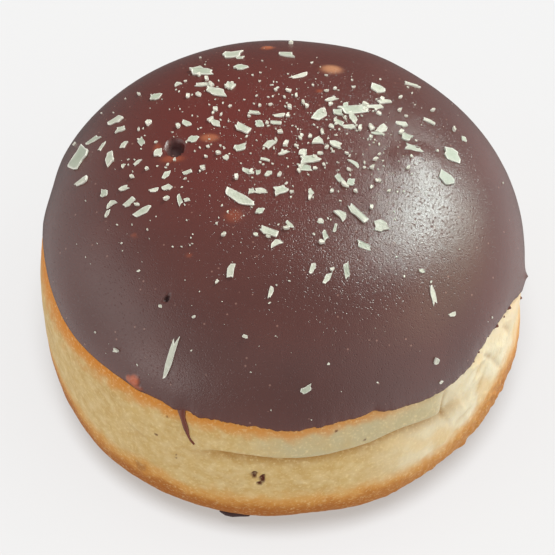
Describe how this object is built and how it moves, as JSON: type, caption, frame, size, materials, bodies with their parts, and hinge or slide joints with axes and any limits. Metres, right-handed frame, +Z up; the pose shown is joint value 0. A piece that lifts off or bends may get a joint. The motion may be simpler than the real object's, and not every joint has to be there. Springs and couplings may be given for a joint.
{
  "type": "filled chocolate doughnut",
  "caption": "Round filled doughnut with a domed chocolate glaze, scattered pale flakes, a pale folded collar and a browned base.",
  "frame": {"origin": "centre of the foot, on the surface the doughnut stands on, below the middle of its widest outline", "axes": "+Z up through the crown, -Y towards the side with the folded lip, +X to the right seen from that side"},
  "size_m": [0.0896, 0.09, 0.0579],
  "materials": {
    "dough": "matte",
    "glaze": "satin"
  },
  "bodies": {
    "root": {"dough": "dough", "glaze": "glaze"}
  },
  "joints": []
}
